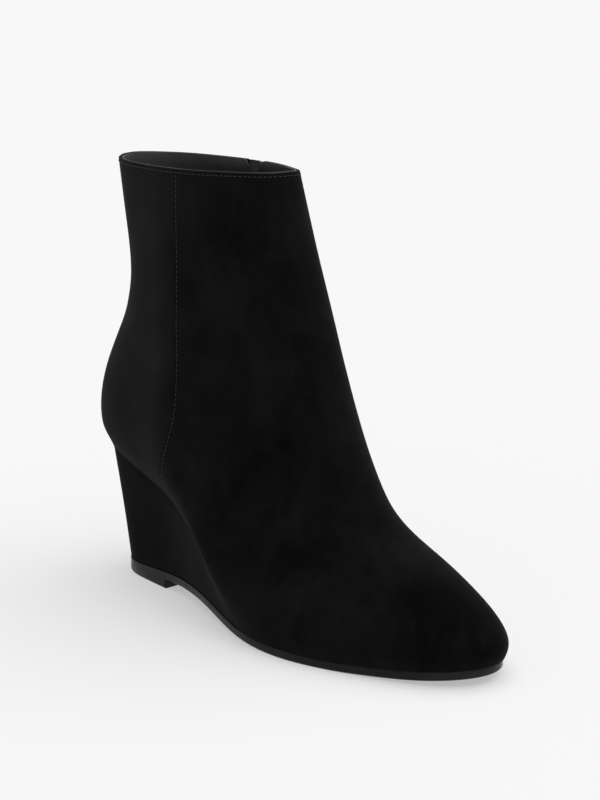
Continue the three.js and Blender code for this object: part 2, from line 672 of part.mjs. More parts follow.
function makeZipHead() {
  const head = new THREE.Group();
  head.add(named('zip_slider', makeSlider(), GOLD));
  head.add(named('zip_pull', makePull(), GOLD));
  const { position, turn } = sliderPlace();
  head.position.copy(position);
  head.quaternion.setFromRotationMatrix(turn);
  return head;
}

const boot = new THREE.Group();
boot.add(named('outsole', makeOutsole(), RUBBER));
boot.add(named('wedge', makeWedge(), SUEDE));
boot.add(named('insole', makeInsole(), LINING));
boot.add(named('upper', makeUpper(), SUEDE));
boot.add(named('back_tab', makeBackTab(), SUEDE));
boot.add(named('zip_tape', makeTape(), TAPE));
boot.add(named('zip_teeth', makeTeeth(), COIL));
boot.add(makeZipHead());
boot.position.x = -(SOLE_BACK + HEEL_TREAD_LENGTH / 2);

export default boot;
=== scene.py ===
# A women's wedge ankle boot for the right foot, in black suede over a covered wedge, with a thin rubber
# outsole, a leather lining and a coil zip down its inner side. +X is the toe, +Y the inner side.
import math

import bmesh
import bpy
from mathutils import Matrix, Vector
from mathutils.bvhtree import BVHTree


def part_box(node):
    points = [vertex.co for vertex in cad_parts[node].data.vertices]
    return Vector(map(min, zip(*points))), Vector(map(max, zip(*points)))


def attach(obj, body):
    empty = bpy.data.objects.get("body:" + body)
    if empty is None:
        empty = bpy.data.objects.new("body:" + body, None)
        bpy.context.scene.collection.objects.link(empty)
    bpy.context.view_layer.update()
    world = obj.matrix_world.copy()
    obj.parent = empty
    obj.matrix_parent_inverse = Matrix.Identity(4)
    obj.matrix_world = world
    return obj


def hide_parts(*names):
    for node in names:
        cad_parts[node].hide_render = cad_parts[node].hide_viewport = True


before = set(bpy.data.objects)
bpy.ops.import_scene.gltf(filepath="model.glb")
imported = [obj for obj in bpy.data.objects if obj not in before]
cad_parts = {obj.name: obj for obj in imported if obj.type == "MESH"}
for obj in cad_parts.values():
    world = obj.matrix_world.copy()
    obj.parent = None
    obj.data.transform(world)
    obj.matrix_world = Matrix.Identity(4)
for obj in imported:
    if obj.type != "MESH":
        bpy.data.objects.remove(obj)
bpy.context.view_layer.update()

MM = 0.001


# Outsole. One moulding of black rubber, cemented under the wedge and the forefoot. Its edges are softly
# rounded, and shallow bars are moulded across the heel's tread and the forefoot for grip.
MERGE_WITHIN = 0.002 * MM
ANY_SHAPE = math.radians(180)


def merged_copy(node):
    """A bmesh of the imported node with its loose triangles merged."""
    bm = bmesh.new()
    bm.from_mesh(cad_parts[node].data)
    bmesh.ops.remove_doubles(bm, verts=bm.verts[:], dist=MERGE_WITHIN)
    return bm


def finish_piece(bm, name, node=None, body="boot"):
    """Makes the object, smooth shaded, and hands it to its body."""
    mesh = bpy.data.meshes.new(name)
    bm.to_mesh(mesh)
    bm.free()
    mesh.shade_smooth()
    piece = bpy.data.objects.new(name, mesh)
    bpy.context.scene.collection.objects.link(piece)
    if node:
        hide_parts(node)
    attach(piece, body)
    return piece


def sharp_edges(bm, degrees):
    """Edges where the surface turns by more than that angle."""
    limit = math.radians(degrees)
    return [e for e in bm.edges if len(e.link_faces) == 2 and e.calc_face_angle(0) > limit]


def join_flat(bm, degrees):
    """Joins triangles to quads where the surface turns by less than the angle."""
    bmesh.ops.join_triangles(bm, faces=bm.faces[:], angle_face_threshold=math.radians(degrees),
                             angle_shape_threshold=ANY_SHAPE)


def surface_of(node):
    """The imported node's surface, for rays."""
    copy = merged_copy(node)
    tree = BVHTree.FromBMesh(copy)
    copy.free()
    return tree


def round_edges(bm, degrees, width):
    """Bevels every edge that is sharper than the angle."""
    bmesh.ops.bevel(bm, geom=sharp_edges(bm, degrees), offset=width, segments=3, profile=0.5,
                    affect="EDGES", material=-1, clamp_overlap=True)


def new_material(name):
    """An empty node material and its Principled shader."""
    material = bpy.data.materials.new(name)
    material.use_nodes = True
    return material, material.node_tree, material.node_tree.nodes["Principled BSDF"]


def new_group(name, inputs, outputs):
    """A node group with named sockets. Inputs are (name, kind, default)."""
    tree = bpy.data.node_groups.new(name, "ShaderNodeTree")
    for label, kind, default in inputs:
        socket = tree.interface.new_socket(label, in_out="INPUT", socket_type=kind)
        socket.default_value = default
    for label, kind in outputs:
        tree.interface.new_socket(label, in_out="OUTPUT", socket_type=kind)
    return tree, tree.nodes.new("NodeGroupInput"), tree.nodes.new("NodeGroupOutput")


def noise_node(tree, where, scale, detail=3.0, roughness=0.5, distortion=0.0):
    """A noise texture on the given coordinates."""
    node = tree.nodes.new("ShaderNodeTexNoise")
    node.inputs["Scale"].default_value = scale
    node.inputs["Detail"].default_value = detail
    node.inputs["Roughness"].default_value = roughness
    node.inputs["Distortion"].default_value = distortion
    tree.links.new(where, node.inputs["Vector"])
    return node


def ramp_node(tree, value, stops):
    """A colour ramp of two stops, each (place, grey level or colour)."""
    node = tree.nodes.new("ShaderNodeValToRGB")
    for stop, (place, colour) in zip(node.color_ramp.elements, stops):
        stop.position = place
        stop.color = (*colour, 1) if isinstance(colour, tuple) else (colour, colour, colour, 1)
    tree.links.new(value, node.inputs["Fac"])
    return node


def set_or_link(tree, pairs):
    """Sets each socket to its plain value, or links it."""
    for socket, value in pairs:
        if isinstance(value, bpy.types.NodeSocket):
            tree.links.new(value, socket)
        else:
            socket.default_value = value


def math_node(tree, operation, *values):
    """A sum, product and so on of numbers, each a link or a plain number."""
    node = tree.nodes.new("ShaderNodeMath")
    node.operation = operation
    set_or_link(tree, zip(node.inputs, values))
    return node.outputs["Value"]


def mix_node(tree, share, first, second, blend="MIX"):
    """Mixes two colours, each a link or a plain colour."""
    node = tree.nodes.new("ShaderNodeMix")
    node.data_type = "RGBA"
    node.blend_type = blend
    set_or_link(tree, ((node.inputs["Factor"], share), (node.inputs[6], first), (node.inputs[7], second)))
    return node.outputs[2]


def range_node(tree, value, start, end, low, high, smooth=False):
    """Maps a number: low at the start, high at the end."""
    node = tree.nodes.new("ShaderNodeMapRange")
    if smooth:
        node.interpolation_type = "SMOOTHSTEP"
    for name, number in (("From Min", start), ("From Max", end), ("To Min", low), ("To Max", high)):
        node.inputs[name].default_value = number
    tree.links.new(value, node.inputs["Value"])
    return node.outputs["Result"]


def axis_of(tree, where, axis):
    """One coordinate out of three."""
    node = tree.nodes.new("ShaderNodeSeparateXYZ")
    tree.links.new(where, node.inputs["Vector"])
    return node.outputs[axis]


def bump_node(tree, height, distance, strength=1.0):
    """A bump from a height, as deep as the distance."""
    node = tree.nodes.new("ShaderNodeBump")
    node.inputs["Strength"].default_value = strength
    node.inputs["Distance"].default_value = distance
    tree.links.new(height, node.inputs["Height"])
    return node.outputs["Normal"]


RUBBER_COLOUR = (0.0062, 0.0062, 0.0074)
RUBBER_RUBBED = (0.0115, 0.0115, 0.0135)
POLISH_FROM, POLISH_TO = 182 * MM, 196 * MM  # the toe's edge is polished
rubber, tree, shader = new_material("moulded rubber")
where = tree.nodes.new("ShaderNodeTexCoord").outputs["Object"]
mottle = noise_node(tree, where, 90, detail=4)
tone = ramp_node(tree, mottle.outputs["Fac"], [(0.35, RUBBER_COLOUR), (0.7, RUBBER_RUBBED)])
tree.links.new(tone.outputs["Color"], shader.inputs["Base Color"])
wear = ramp_node(tree, noise_node(tree, where, 260, detail=3).outputs["Fac"], [(0.3, 0.26), (0.75, 0.42)])
tree.links.new(wear.outputs["Color"], shader.inputs["Roughness"])
grain = noise_node(tree, where, 1800, detail=2)
tree.links.new(bump_node(tree, grain.outputs["Fac"], 0.02 * MM), shader.inputs["Normal"])
shader.inputs["Specular IOR Level"].default_value = 0.12
polish = range_node(tree, axis_of(tree, where, "X"), POLISH_FROM, POLISH_TO, 0.02, 0.10)
tree.links.new(polish, shader.inputs["Coat Weight"])
shader.inputs["Coat Roughness"].default_value = 0.12

SOLE_EDGE_ROUND = 0.45 * MM
TREAD_BAR = 0.7 * MM  # half the width of a bar between two grooves
TREAD_DEPTH = 0.5 * MM
TREAD_SHORTEST = 2.4 * MM  # no groove in a strip shorter than this
TREAD_NARROWEST = 20 * MM
TREAD_HIGHEST = 2 * MM
FACES_DOWN = -0.97
sole = merged_copy("outsole")
join_flat(sole, 12)
round_edges(sole, 35, SOLE_EDGE_ROUND)
strips = []
for face in sole.faces:
    if len(face.verts) != 4 or face.normal.z > FACES_DOWN or face.calc_center_median().z > TREAD_HIGHEST:
        continue
    length = max(v.co.x for v in face.verts) - min(v.co.x for v in face.verts)
    if length > TREAD_SHORTEST and face.calc_area() > length * TREAD_NARROWEST:
        strips.append(face)
bmesh.ops.inset_individual(sole, faces=strips, thickness=TREAD_BAR, depth=-TREAD_DEPTH, use_even_offset=True)
outsole = finish_piece(sole, "outsole_moulded", node="outsole")
outsole.data.materials.append(rubber)


# Wedge heel. A light core covered with the upper's suede, whose edges are turned in under the upper and
# on top of the outsole, so that both joins show as a fine dark line.
SUEDE_DARK = (0.0014, 0.0014, 0.0015)
SUEDE_LIGHT = (0.0140, 0.0140, 0.0150)
STROKE_SHARE = 0.3  # of the nap's strokes against its clouds
nap, nap_in, nap_out = new_group(
    "suede nap",
    [("Dark", "NodeSocketColor", (*SUEDE_DARK, 1)), ("Light", "NodeSocketColor", (*SUEDE_LIGHT, 1)),
     ("Nap and painted light", "NodeSocketFloat", 0.0)],
    [("Color", "NodeSocketColor"), ("Roughness", "NodeSocketFloat"), ("Height", "NodeSocketFloat")])
where = nap.nodes.new("ShaderNodeTexCoord").outputs["Object"]
clouds = noise_node(nap, where, 30, detail=5, roughness=0.6, distortion=0.4)
strokes_at = nap.nodes.new("ShaderNodeMapping")
strokes_at.inputs["Scale"].default_value = (1.0, 1.0, 0.35)
nap.links.new(where, strokes_at.inputs["Vector"])
strokes = noise_node(nap, strokes_at.outputs["Vector"], 170, detail=4, roughness=0.6, distortion=0.3)
both = nap.nodes.new("ShaderNodeMix")
both.inputs["Factor"].default_value = STROKE_SHARE
nap.links.new(clouds.outputs["Fac"], both.inputs["A"])
nap.links.new(strokes.outputs["Fac"], both.inputs["B"])
# The last input lifts the nap's clouds; on the upper it also carries painted light from the back and left.
nap_and_painted_light = math_node(nap, "ADD", both.outputs["Result"], nap_in.outputs["Nap and painted light"])
patches = ramp_node(nap, nap_and_painted_light, [(0.36, 0.0), (1.0, 1.0)])
fibres = noise_node(nap, where, 2600, detail=3, roughness=0.7)
fibre_tone = ramp_node(nap, fibres.outputs["Fac"], [(0.3, 0.72), (0.7, 1.28)])
colour = mix_node(nap, patches.outputs["Color"], nap_in.outputs["Dark"], nap_in.outputs["Light"])
colour = mix_node(nap, 1.0, colour, fibre_tone.outputs["Color"], blend="MULTIPLY")
nap.links.new(colour, nap_out.inputs["Color"])
nap_rough = ramp_node(nap, strokes.outputs["Fac"], [(0.3, 0.86), (0.7, 0.99)])
nap.links.new(nap_rough.outputs["Color"], nap_out.inputs["Roughness"])
FIBRE_SHARE = 0.35  # of the nap's height
depth = math_node(nap, "MULTIPLY_ADD", fibres.outputs["Fac"], FIBRE_SHARE, strokes.outputs["Fac"])
nap.links.new(depth, nap_out.inputs["Height"])

NAP_DEPTH = 0.12 * MM
NAP_STRENGTH = 0.8


def suede_material(name, lift_by_nap_and_light):
    """Suede on the shared nap. lift_by_nap_and_light(tree, where) says how much lighter the suede is at a
    place, by its nap and, on the upper, by painted light.
    """
    material, tree, shader = new_material(name)
    group = tree.nodes.new("ShaderNodeGroup")
    group.node_tree = nap
    where = tree.nodes.new("ShaderNodeTexCoord").outputs["Object"]
    set_or_link(tree, [(group.inputs["Nap and painted light"], lift_by_nap_and_light(tree, where))])
    tree.links.new(group.outputs["Color"], shader.inputs["Base Color"])
    tree.links.new(group.outputs["Roughness"], shader.inputs["Roughness"])
    bump = bump_node(tree, group.outputs["Height"], NAP_DEPTH, NAP_STRENGTH)
    tree.links.new(bump, shader.inputs["Normal"])
    shader.inputs["Specular IOR Level"].default_value = 0.05
    shader.inputs["Sheen Weight"].default_value = 0.03
    shader.inputs["Sheen Roughness"].default_value = 0.45
    shader.inputs["Sheen Tint"].default_value = (0.75, 0.75, 0.80, 1)
    return material


WEDGE_SET_DARKER = -0.12  # the wedge's suede is a little darker than the upper's
wedge_suede = suede_material("suede on the wedge", lambda tree, where: WEDGE_SET_DARKER)
WEDGE_EDGE_ROUND = 0.6 * MM
TIP_LENGTH = 1.6 * MM  # of the core's blunt front end
TIP_REACH = 9 * MM
TIP_SPREAD = 1.02  # the boot gets wider towards the ball, most on the inner side
TIP_SHIFT = 1.0 * MM  # towards the inner side
TIP_CLEAR = 0.2 * MM
UP = Vector((0, 0, 1))
WELL_CLEAR = 0.1  # a ray's start outside the boot
wedge_mesh = merged_copy("wedge")


def run_out(bm):
    """Carries the cover on from the core's front to a thin edge between the outsole and the insole."""
    front = max(v.co.x for v in bm.verts)
    tip = [v for v in bm.verts if v.co.x > front - TIP_LENGTH]
    low, high = min(v.co.z for v in tip), max(v.co.z for v in tip)
    at = Vector((front + TIP_REACH, 0, 0))
    floor = surface_of("outsole").ray_cast(at + UP * WELL_CLEAR, -UP)[0]
    ceiling = surface_of("insole").ray_cast(at - UP * WELL_CLEAR, UP)[0]
    for vert in tip:
        share = (vert.co.z - low) / (high - low)
        vert.co.x += TIP_REACH
        vert.co.y = vert.co.y * TIP_SPREAD + TIP_SHIFT
        vert.co.z = floor.z + TIP_CLEAR + (ceiling.z - floor.z - 2 * TIP_CLEAR) * share


run_out(wedge_mesh)
join_flat(wedge_mesh, 20)
round_edges(wedge_mesh, 40, WEDGE_EDGE_ROUND)
wedge_surface = BVHTree.FromBMesh(wedge_mesh)
wedge = finish_piece(wedge_mesh, "wedge_covered", node="wedge")
wedge.data.materials.append(wedge_suede)


# Insole. A board with a smooth leather sock glued on, the same leather as the lining, slightly mottled and
# finely pored. Its edge is rounded where the upper's lining meets it.
LINING_DARK = (0.014, 0.014, 0.0155)
LINING_LIGHT = (0.034, 0.034, 0.037)
lining_leather, tree, shader = new_material("smooth lining leather")
where = tree.nodes.new("ShaderNodeTexCoord").outputs["Object"]
mottle = noise_node(tree, where, 60, detail=4)
tone = ramp_node(tree, mottle.outputs["Fac"], [(0.3, LINING_DARK), (0.75, LINING_LIGHT)])
tree.links.new(tone.outputs["Color"], shader.inputs["Base Color"])
pores = tree.nodes.new("ShaderNodeTexVoronoi")
pores.feature = "DISTANCE_TO_EDGE"
pores.inputs["Scale"].default_value = 900
tree.links.new(where, pores.inputs["Vector"])
gloss = ramp_node(tree, noise_node(tree, where, 400, detail=2).outputs["Fac"], [(0.3, 0.36), (0.7, 0.5)])
tree.links.new(gloss.outputs["Color"], shader.inputs["Roughness"])
tree.links.new(bump_node(tree, pores.outputs["Distance"], 0.05 * MM, 0.5), shader.inputs["Normal"])

SOCK_EDGE_ROUND = 0.5 * MM
sock = merged_copy("insole")
join_flat(sock, 20)
round_edges(sock, 45, SOCK_EDGE_ROUND)
insole = finish_piece(sock, "insole_sock", node="insole")
insole.data.materials.append(lining_leather)


# Upper. Soft suede stitched to its lining, stretched over the last and cemented under the feather edge.
# The shaft gives a little above the heel and at the instep, in shallow waves.
SHELL_ENDS_AT = math.radians(55)


def shells_of(bm):
    """The wall's faces in smooth stretches, the largest first: outside, inside, and then its rims."""
    stretches = []
    left = set(bm.faces)
    while left:
        start = left.pop()
        stretch, queue = [start], [start]
        while queue:
            face = queue.pop()
            for edge in face.edges:
                if edge.calc_face_angle(0) > SHELL_ENDS_AT:
                    continue
                for other in edge.link_faces:
                    if other in left:
                        left.discard(other)
                        stretch.append(other)
                        queue.append(other)
        stretches.append(stretch)
    return sorted(stretches, key=lambda faces: -sum(f.calc_area() for f in faces))


def rows_and_columns(faces):
    """Dissolvable diagonals: in every triangle the edges come round as column, row, diagonal."""
    inside = set(faces)
    start = max(faces, key=lambda f: f.calc_center_median().z)
    rim = max(start.loops, key=lambda loop: loop.edge.verts[0].co.z + loop.edge.verts[1].co.z)
    kinds = {rim.edge: 1}
    queue = [(start, rim)]
    seen = {start}
    while queue:
        face, known = queue.pop()
        kind = kinds[known.edge]
        for step, loop in ((1, known.link_loop_next), (2, known.link_loop_prev)):
            kinds[loop.edge] = (kind + step) % 3
        for loop in face.loops:
            for other in loop.edge.link_loops:
                if other.face in inside and other.face not in seen:
                    seen.add(other.face)
                    queue.append((other.face, other))
    return [edge for edge, kind in kinds.items() if kind == 2]


OUTSIDE, INSIDE = 0, 1


def shell_of_upper(index):
    """The upper wall's outside or inside as a sheet of quads."""
    bm = merged_copy("upper")
    keep = set(shells_of(bm)[index])
    bmesh.ops.delete(bm, geom=[f for f in bm.faces if f not in keep], context="FACES")
    bmesh.ops.dissolve_edges(bm, edges=rows_and_columns(bm.faces[:]), use_verts=False, use_face_split=False)
    return bm


def subdivided(bm, levels):
    """The sheet after smooth subdivision, as a new bmesh. Its open edges stay where they are."""
    mesh = bpy.data.meshes.new("sheet")
    bm.to_mesh(mesh)
    bm.free()
    carrier = bpy.data.objects.new("sheet", mesh)
    bpy.context.scene.collection.objects.link(carrier)
    smooth = carrier.modifiers.new("smooth", "SUBSURF")
    smooth.levels = smooth.render_levels = levels
    smooth.boundary_smooth = "PRESERVE_CORNERS"
    view = bpy.context.evaluated_depsgraph_get()
    result = bmesh.new()
    result.from_mesh(carrier.evaluated_get(view).to_mesh())
    bpy.data.objects.remove(carrier)
    bpy.data.meshes.remove(mesh)
    return result


def thickened(piece, thickness):
    """Gives a sheet its thickness, inwards."""
    skin = piece.modifiers.new("thickness", "SOLIDIFY")
    skin.thickness = thickness
    skin.offset = -1
    skin.use_even_offset = False


SUEDE_THICKNESS = 1.3 * MM
LINING_THICKNESS = 0.8 * MM

# Soft folds, in metres: the middle, how far it reaches along X, Y and Z, and its height over the surface.
FOLDS = [
    ((0.062, -0.030, 0.118), (0.022, 0.030, 0.007), -0.45 * MM),
    ((0.060, -0.030, 0.131), (0.024, 0.030, 0.008), 0.35 * MM),
    ((0.010, -0.022, 0.120), (0.016, 0.030, 0.009), -0.40 * MM),
    ((0.008, -0.022, 0.134), (0.018, 0.030, 0.009), 0.35 * MM),
    ((0.085, -0.012, 0.085), (0.016, 0.030, 0.007), -0.40 * MM),
    ((0.100, 0.000, 0.070), (0.014, 0.040, 0.007), 0.30 * MM),
    ((0.064, 0.028, 0.116), (0.022, 0.030, 0.008), -0.45 * MM),
    ((0.010, 0.022, 0.118), (0.016, 0.030, 0.009), -0.40 * MM),
    ((0.120, 0.030, 0.040), (0.012, 0.020, 0.018), -0.30 * MM),
    ((0.118, -0.034, 0.036), (0.012, 0.020, 0.018), -0.30 * MM),
]


def fold_height(point):
    """Height of all the folds together at a point of the surface."""
    height = 0.0
    for middle, reach, rise in FOLDS:
        away = sum(((point[i] - middle[i]) / reach[i]) ** 2 for i in range(3))
        height += rise * math.exp(-away)
    return height


ZIP_TOP_X, ZIP_FOOT_X = 32.5 * MM, 36.0 * MM
SLOT_HALF = 3.2 * MM
SLOT_CORNER = 3.2 * MM
SLOT_CORNER_REACH = 11 * MM  # how far down the rounding of a corner is felt


def round_slot_corners(bm):
    """Rounds the wall's two corners where the zip's slot meets the collar."""
    beside = [v for v in bm.verts if v.co.y > 0 and abs(v.co.x - ZIP_TOP_X) < SLOT_HALF + SLOT_CORNER]
    rim = max(v.co.z for v in beside)
    for vert in beside:
        away = min(max(abs(vert.co.x - ZIP_TOP_X) - SLOT_HALF, 0) / SLOT_CORNER, 1)
        drop = SLOT_CORNER * (1 - math.sqrt(1 - (1 - away) ** 2))
        near = max(0, 1 - (rim - vert.co.z) / SLOT_CORNER_REACH)
        vert.co.z -= drop * near ** 2


FEATHER_HIGHEST = 66 * MM
FEATHER_TUCK = 1.6 * MM  # the edge turns in over the wedge and the outsole
LARGEST_GAP = 4 * MM
GAP_LEFT = 0.08 * MM
SETTLE_PASSES = 6


def settle_feather_edge(bm):
    """Lets the lower edge down on to the wedge and the outsole, evenly along the edge."""
    below = [wedge_surface, surface_of("outsole")]
    drops = {}
    for vert in bm.verts:
        if not vert.is_boundary or vert.co.z > FEATHER_HIGHEST:
            continue
        inwards = Vector((vert.normal.x, vert.normal.y, 0)).normalized() * -FEATHER_TUCK
        gaps = [tree.ray_cast(vert.co + inwards, -UP, LARGEST_GAP)[3] for tree in below]
        gaps = [gap for gap in gaps if gap is not None]
        drops[vert] = max(min(gaps) - GAP_LEFT, 0) if gaps else 0
    beside = {vert: [e.other_vert(vert) for e in vert.link_edges if e.is_boundary] for vert in drops}
    for _ in range(SETTLE_PASSES):
        evened = {}
        for vert, drop in drops.items():
            near = [drops.get(other, drop) for other in beside[vert]]
            evened[vert] = (2 * drop + sum(near)) / (2 + len(near))
        drops = evened
    for vert, drop in drops.items():
        vert.co.z -= drop


outside = subdivided(shell_of_upper(OUTSIDE), levels=2)
outside.normal_update()
for vert in outside.verts:
    vert.co += vert.normal * fold_height(vert.co)
round_slot_corners(outside)
settle_feather_edge(outside)
upper_surface = BVHTree.FromBMesh(outside)


SEAM_X = 40 * MM
# The panel behind the side seam is lighter: its nap lies another way, which gives the sharp change at the
# seam, and for the rest it is painted light, standing in for light from the back and left.
BACK_PANEL_FROM, BACK_PANEL_TO = SEAM_X + 1 * MM, SEAM_X - 14 * MM
BACK_PANEL_NAP_AND_LIGHT = 0.20  # how much lighter the panel behind the seam is

# Lighter and darker places on the nap: the middle in metres, how far it reaches, and how much lighter it
# lies there. The lighter place on the front ridge is painted sheen, where light grazes the nap.
NAP_PATCHES_AND_RIDGE_SHEEN = [
    ((0.140, -0.025, 0.036), 18 * MM, 0.07),
    ((0.160, -0.027, 0.023), 16 * MM, 0.04),
    ((0.069, -0.019, 0.189), 22 * MM, 0.06),
    ((0.046, -0.027, 0.187), 20 * MM, 0.06),
    # painted sheen along the front ridge
    ((0.100, 0.001, 0.150), 26 * MM, 0.04),
    ((0.193, -0.003, 0.026), 38 * MM, -0.07),
    ((0.000, -0.027, 0.075), 26 * MM, -0.06),
]


def upper_nap(tree, where):
    """The panel behind the seam is lighter, partly by its nap and partly by painted light, and there are
    lighter and darker places, one of them painted sheen on the front ridge.
    """
    lighter = range_node(tree, axis_of(tree, where, "X"), BACK_PANEL_FROM, BACK_PANEL_TO, 0, BACK_PANEL_NAP_AND_LIGHT)
    for middle, reach, amount in NAP_PATCHES_AND_RIDGE_SHEEN:
        away = tree.nodes.new("ShaderNodeVectorMath")
        away.operation = "DISTANCE"
        tree.links.new(where, away.inputs[0])
        away.inputs[1].default_value = middle
        nap_patch = range_node(tree, away.outputs["Value"], 0, reach, amount, 0, smooth=True)
        lighter = math_node(tree, "ADD", lighter, nap_patch)
    return lighter


def soft_rim(piece, width):
    """Rounds the edges that a sheet's thickness leaves square."""
    rim = piece.modifiers.new("soft rim", "BEVEL")
    rim.width = width
    rim.segments = 2
    rim.limit_method = "ANGLE"
    rim.angle_limit = math.radians(50)


SUEDE_RIM_ROUND = 0.4 * MM
LINING_RIM_ROUND = 0.2 * MM
upper_suede = suede_material("suede of the upper", upper_nap)
upper = finish_piece(outside, "upper_suede", node="upper")
thickened(upper, SUEDE_THICKNESS)
soft_rim(upper, SUEDE_RIM_ROUND)
upper.data.materials.append(upper_suede)

inside = subdivided(shell_of_upper(INSIDE), levels=1)
round_slot_corners(inside)
lining = finish_piece(inside, "upper_lining")
thickened(lining, LINING_THICKNESS)
soft_rim(lining, LINING_RIM_ROUND)
lining.data.materials.append(lining_leather)


# Seams of the upper. Dark waxed thread in even stitches: one row under the collar, one beside the outer
# side's seam, whose edge is turned under, and two along each side of the zip.
def path_over(surface, rays):
    """Where rays from outside meet a surface: a list of (point, outward normal)."""
    path = []
    for start, direction in rays:
        point, normal, _, _ = surface.ray_cast(start, direction)
        if point is not None:
            path.append((point, normal if normal.dot(direction) < 0 else -normal))
    return path


def evenly(path, pitch):
    """Points a pitch apart along a path, as (point, normal, direction)."""
    places = []
    travelled, due = 0.0, pitch / 2
    for (a, normal_a), (b, normal_b) in zip(path, path[1:]):
        length = (b - a).length
        while length > 0 and due <= travelled + length:
            share = (due - travelled) / length
            normal = normal_a.lerp(normal_b, share).normalized()
            places.append((a.lerp(b, share), normal, (b - a).normalized()))
            due += pitch
        travelled += length
    return places


def facing(point, normal, direction):
    """A place on the surface: X along the path, Z outwards."""
    across = normal.cross(direction).normalized()
    along = across.cross(normal).normalized()
    turn = Matrix((along, across, normal)).transposed().to_4x4()
    return Matrix.Translation(point) @ turn


STITCH_PITCH = 2.2 * MM
STITCH_LENGTH = 1.6 * MM
THREAD = 0.42 * MM
THREAD_STANDS = 0.1  # a stitch's middle over the suede, as a share of its thickness


def add_ovals(bm, size, places):
    """Adds a rounded body of that size at each place."""
    one = bmesh.new()
    bmesh.ops.create_uvsphere(one, u_segments=10, v_segments=7, radius=0.5,
                              matrix=Matrix.Diagonal((*size, 1)))
    mesh = bpy.data.meshes.new("oval")
    one.to_mesh(mesh)
    one.free()
    for place in places:
        copy = mesh.copy()
        copy.transform(place)
        bm.from_mesh(copy)
        bpy.data.meshes.remove(copy)
    bpy.data.meshes.remove(mesh)


def add_stitches(bm, path):
    """One rounded stitch in each pitch, sunk into the suede by nearly half."""
    places = [facing(point + normal * THREAD * THREAD_STANDS, normal, direction)
              for point, normal, direction in evenly(path, STITCH_PITCH)]
    add_ovals(bm, (STITCH_LENGTH, THREAD, THREAD), places)


def line_over(bm, path, radius):
    """A closed round line along a path, such as a turned edge or a cord."""
    rings = []
    for point, normal, direction in path:
        place = facing(point, normal, direction) @ Matrix.Rotation(math.pi / 2, 4, "Y")
        rings.append(bmesh.ops.create_circle(bm, cap_ends=len(rings) in (0, len(path) - 1), segments=8,
                                             radius=radius, matrix=place)["verts"])
    for ring, after in zip(rings, rings[1:]):
        edges = []
        for loop in (ring, after):
            edges += [e for e in {e for v in loop for e in v.link_edges} if set(e.verts) <= set(loop)]
        bmesh.ops.bridge_loops(bm, edges=edges)


thread, tree, shader = new_material("waxed thread")
where = tree.nodes.new("ShaderNodeTexCoord").outputs["Object"]
twist = noise_node(tree, where, 3000, detail=1)
tone = ramp_node(tree, twist.outputs["Fac"], [(0.3, (0.003, 0.003, 0.0033)), (0.7, (0.010, 0.010, 0.0106))])
tree.links.new(tone.outputs["Color"], shader.inputs["Base Color"])
tree.links.new(bump_node(tree, twist.outputs["Fac"], 0.05 * MM), shader.inputs["Normal"])
shader.inputs["Roughness"].default_value = 0.55

# Collar row, from one side of the zip round the back seam and the ridge to its other side.
rim_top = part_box("upper")[1].z
COLLAR_MIDDLE = Vector((32 * MM, 0, 0))
COLLAR_ROW_DROP = 1.6 * MM
ZIP_BEARING, ZIP_CLEAR = 89, 13  # degrees round the collar from the toe, and what the row leaves free
COLLAR_LOWEST = 10 * MM  # no part of the rim is further under its highest point
COLLAR_STEPS = 240
CLOSE_ENOUGH = 0.02 * MM
FAR = 0.2  # a ray's start well outside the boot


def rim_height(out):
    """The height of the collar in a direction from the shaft's middle."""
    low, high = rim_top - COLLAR_LOWEST, rim_top
    while high - low > CLOSE_ENOUGH:
        z = (low + high) / 2
        point, normal, _, _ = upper_surface.ray_cast(COLLAR_MIDDLE + out * FAR + UP * z, -out)
        if point is not None and normal.dot(out) > 0:
            low = z
        else:
            high = z
    return low


collar_rays = []
for step in range(COLLAR_STEPS + 1):
    bearing = math.radians(ZIP_BEARING + ZIP_CLEAR + (360 - 2 * ZIP_CLEAR) * step / COLLAR_STEPS)
    out = Vector((math.cos(bearing), math.sin(bearing), 0))
    height = rim_height(out) - COLLAR_ROW_DROP
    collar_rays.append((COLLAR_MIDDLE + out * FAR + UP * height, -out))
stitches = bmesh.new()
add_stitches(stitches, path_over(upper_surface, collar_rays))

# Seam of the outer side, as (X, Z) in millimetres from the collar down to the feather edge.
SIDE_SEAM = [(39.5, 197.0), (39.8, 180), (40.4, 158), (40.7, 136), (41.4, 118), (42.2, 102), (42.0, 92),
             (40.7, 85), (39.3, 79), (38, 73), (36.9, 69.5), (35.0, 63), (33.1, 58.5)]
SEAM_ROW_OFFSET = 1.5 * MM
SEAM_FOLD = 0.42 * MM
SEAM_SUNK = 0.45  # of the fold's radius
SEAM_STEP = 2 * MM
SEAM_PARTS = 6  # rays for each stretch of the table


def seam_rays(offset):
    """Rays from the outer side towards the seam, shifted forwards by the offset."""
    rays = []
    for (x0, z0), (x1, z1) in zip(SIDE_SEAM, SIDE_SEAM[1:]):
        for i in range(SEAM_PARTS):
            x, z = x0 + (x1 - x0) * i / SEAM_PARTS, z0 + (z1 - z0) * i / SEAM_PARTS
            rays.append((Vector((x * MM + offset, -FAR, z * MM)), Vector((0, 1, 0))))
    return rays


add_stitches(stitches, path_over(upper_surface, seam_rays(SEAM_ROW_OFFSET)))
fold = bmesh.new()
fold_path = [(point - normal * SEAM_FOLD * SEAM_SUNK, normal, direction)
             for point, normal, direction in evenly(path_over(upper_surface, seam_rays(0)), SEAM_STEP)]
line_over(fold, fold_path, SEAM_FOLD)
side_fold = finish_piece(fold, "side_seam_fold")
side_fold.data.materials.append(upper_suede)

